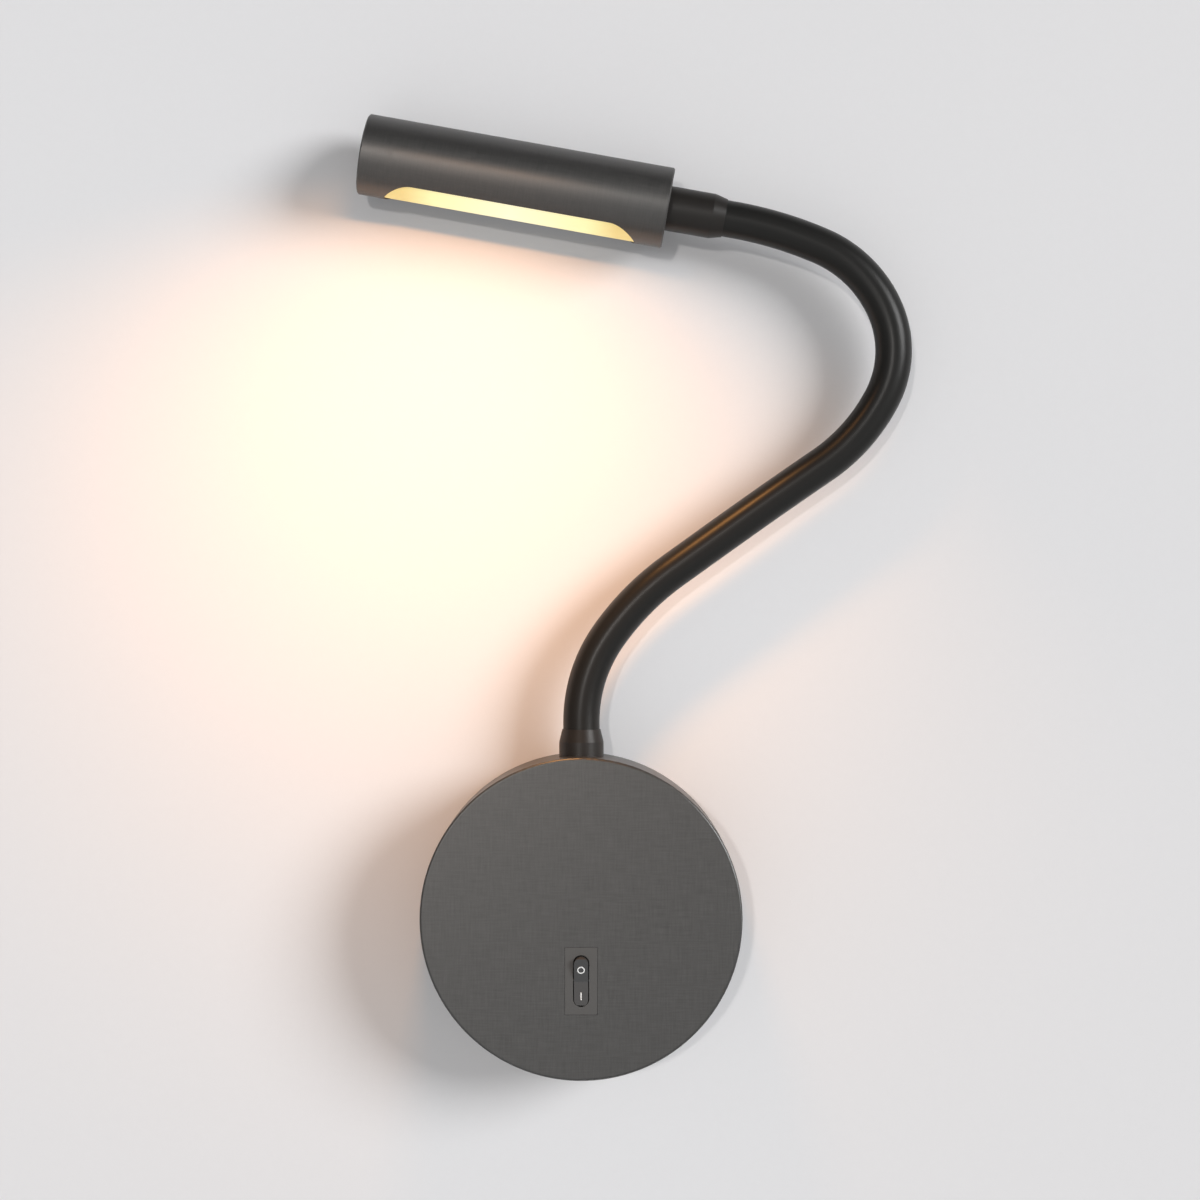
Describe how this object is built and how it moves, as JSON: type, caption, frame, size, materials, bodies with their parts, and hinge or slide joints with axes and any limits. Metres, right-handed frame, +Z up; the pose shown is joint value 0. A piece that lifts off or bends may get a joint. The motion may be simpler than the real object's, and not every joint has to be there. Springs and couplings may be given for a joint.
{
  "type": "wall sconce",
  "caption": "Wall-mounted reading light: round switched base, bendable rubber-sleeved gooseneck and a tubular lamp head with a frosted obround light window on its underside.",
  "frame": {"origin": "centre of the base's back face, on the wall, midway between the two wall screw slots", "axes": "+Y into the wall, so the front faces -Y; +Z up, along the lamp's height; +X to the right as seen from the room"},
  "size_m": [0.1746, 0.0298, 0.3016],
  "materials": {
    "base_metal": "satin dark grey paint with a fine linen texture",
    "bracket_steel": "zinc plated",
    "grommet_rubber": "matt",
    "steel": "zinc plated",
    "switch_plastic": "fine matt moulding, grey like the cover",
    "rocker_plastic": "fine satin moulding, darker than the bezel",
    "terminal_brass": "plain",
    "terminal_steel": "zinc plated",
    "driver_plastic": "matt white",
    "block_plastic": "natural polyamide",
    "ferrule_black": "satin black",
    "sleeve_rubber": "matt black silicone rubber",
    "core_steel": "wound steel hose",
    "lead_insulation": "soft insulation",
    "head_metal": "satin dark grey powder coat",
    "diffuser_frost": "frosted, lit warm white",
    "carrier_aluminium": "mill finish extrusion",
    "board_white": "white solder mask",
    "chip_yellow": "phosphor"
  },
  "bodies": {
    "base": {"base_cover": "base_metal", "wall_bracket": "bracket_steel", "cable_grommet": "grommet_rubber", "cover_grub_screws": "steel", "switch_housing": "switch_plastic", "switch_terminals": "terminal_brass", "led_driver": "driver_plastic", "driver_screws": "steel", "terminal_block": "block_plastic", "terminal_block_screws": "terminal_steel", "lower_ferrule": "ferrule_black", "neck_washer": "steel", "neck_nut": "steel", "neck_nipple": "steel", "neck_root_sleeve": "sleeve_rubber", "neck_root_core": "core_steel", "driver_output_leads": "lead_insulation", "base_leads": "lead_insulation"},
    "rocker": {"rocker": "rocker_plastic"},
    "neck_link_1": {"neck_sleeve_1": "sleeve_rubber", "neck_core_1": "core_steel", "neck_leads_1": "lead_insulation"},
    "neck_link_2": {"neck_sleeve_2": "sleeve_rubber", "neck_core_2": "core_steel", "neck_leads_2": "lead_insulation"},
    "neck_link_3": {"neck_sleeve_3": "sleeve_rubber", "neck_core_3": "core_steel", "neck_leads_3": "lead_insulation"},
    "neck_link_4": {"neck_sleeve_4": "sleeve_rubber", "neck_core_4": "core_steel", "neck_leads_4": "lead_insulation"},
    "neck_link_5": {"neck_sleeve_5": "sleeve_rubber", "neck_core_5": "core_steel", "neck_leads_5": "lead_insulation"},
    "neck_link_6": {"neck_sleeve_6": "sleeve_rubber", "neck_core_6": "core_steel", "neck_leads_6": "lead_insulation"},
    "neck_link_7": {"neck_sleeve_7": "sleeve_rubber", "neck_core_7": "core_steel", "neck_leads_7": "lead_insulation"},
    "neck_link_8": {"neck_sleeve_8": "sleeve_rubber", "neck_core_8": "core_steel", "neck_leads_8": "lead_insulation"},
    "head": {"neck_tip_sleeve": "sleeve_rubber", "neck_tip_core": "core_steel", "upper_ferrule": "ferrule_black", "head_nipple": "steel", "head_nut": "steel", "neck_end_cap": "head_metal", "head_tube": "head_metal", "free_end_cap": "head_metal", "diffuser": "diffuser_frost", "led_carrier": "carrier_aluminium", "led_board": "board_white", "led_chips": "chip_yellow", "head_leads": "lead_insulation"}
  },
  "joints": [
    {"name": "switch_rocker", "type": "hinge", "parent": "base", "child": "rocker", "pos_m": [0, -0.0265, -0.019], "axis": [1, 0, 0], "range_deg": [-14, 0]},
    {"name": "lower_lift", "type": "hinge", "parent": "base", "child": "neck_link_1", "pos_m": [0, -0.014, 0.0606], "axis": [1, 0, 0], "range_deg": [0, 18]},
    {"name": "lower_swing", "type": "hinge", "parent": "neck_link_1", "child": "neck_link_2", "pos_m": [0.00857, -0.014, 0.08762], "axis": [0, 1, 0], "range_deg": [-25, 15]},
    {"name": "lower_lift_second", "type": "hinge", "parent": "neck_link_2", "child": "neck_link_3", "pos_m": [0.02874, -0.014, 0.108], "axis": [0.585, 0, -0.8111], "range_deg": [0, 18]},
    {"name": "lower_swing_second", "type": "hinge", "parent": "neck_link_3", "child": "neck_link_4", "pos_m": [0.05215, -0.014, 0.12477], "axis": [0, 1, 0], "range_deg": [-25, 15]},
    {"name": "lower_lift_third", "type": "hinge", "parent": "neck_link_4", "child": "neck_link_5", "pos_m": [0.0758, -0.014, 0.1412], "axis": [0.5621, 0, -0.8271], "range_deg": [0, 18]},
    {"name": "upper_swing", "type": "hinge", "parent": "neck_link_5", "child": "neck_link_6", "pos_m": [0.09471, -0.014, 0.16253], "axis": [0, 1, 0], "range_deg": [-5, 25]},
    {"name": "upper_lift", "type": "hinge", "parent": "neck_link_6", "child": "neck_link_7", "pos_m": [0.09553, -0.014, 0.19037], "axis": [0.9143, 0, 0.4051], "range_deg": [0, 20]},
    {"name": "upper_swing_second", "type": "hinge", "parent": "neck_link_7", "child": "neck_link_8", "pos_m": [0.07555, -0.014, 0.21018], "axis": [0, 1, 0], "range_deg": [-5, 25]},
    {"name": "upper_lift_second", "type": "hinge", "parent": "neck_link_8", "child": "head", "pos_m": [0.04804, -0.014, 0.21846], "axis": [0.1754, 0, 0.9845], "range_deg": [0, 20]}
  ],
  "couplings": [
    {"joint": "lower_lift_second", "follows": "lower_lift", "ratio": 1},
    {"joint": "lower_lift_third", "follows": "lower_lift", "ratio": 1},
    {"joint": "lower_swing_second", "follows": "lower_swing", "ratio": 1},
    {"joint": "upper_swing_second", "follows": "upper_swing", "ratio": 1},
    {"joint": "upper_lift_second", "follows": "upper_lift", "ratio": 1}
  ]
}
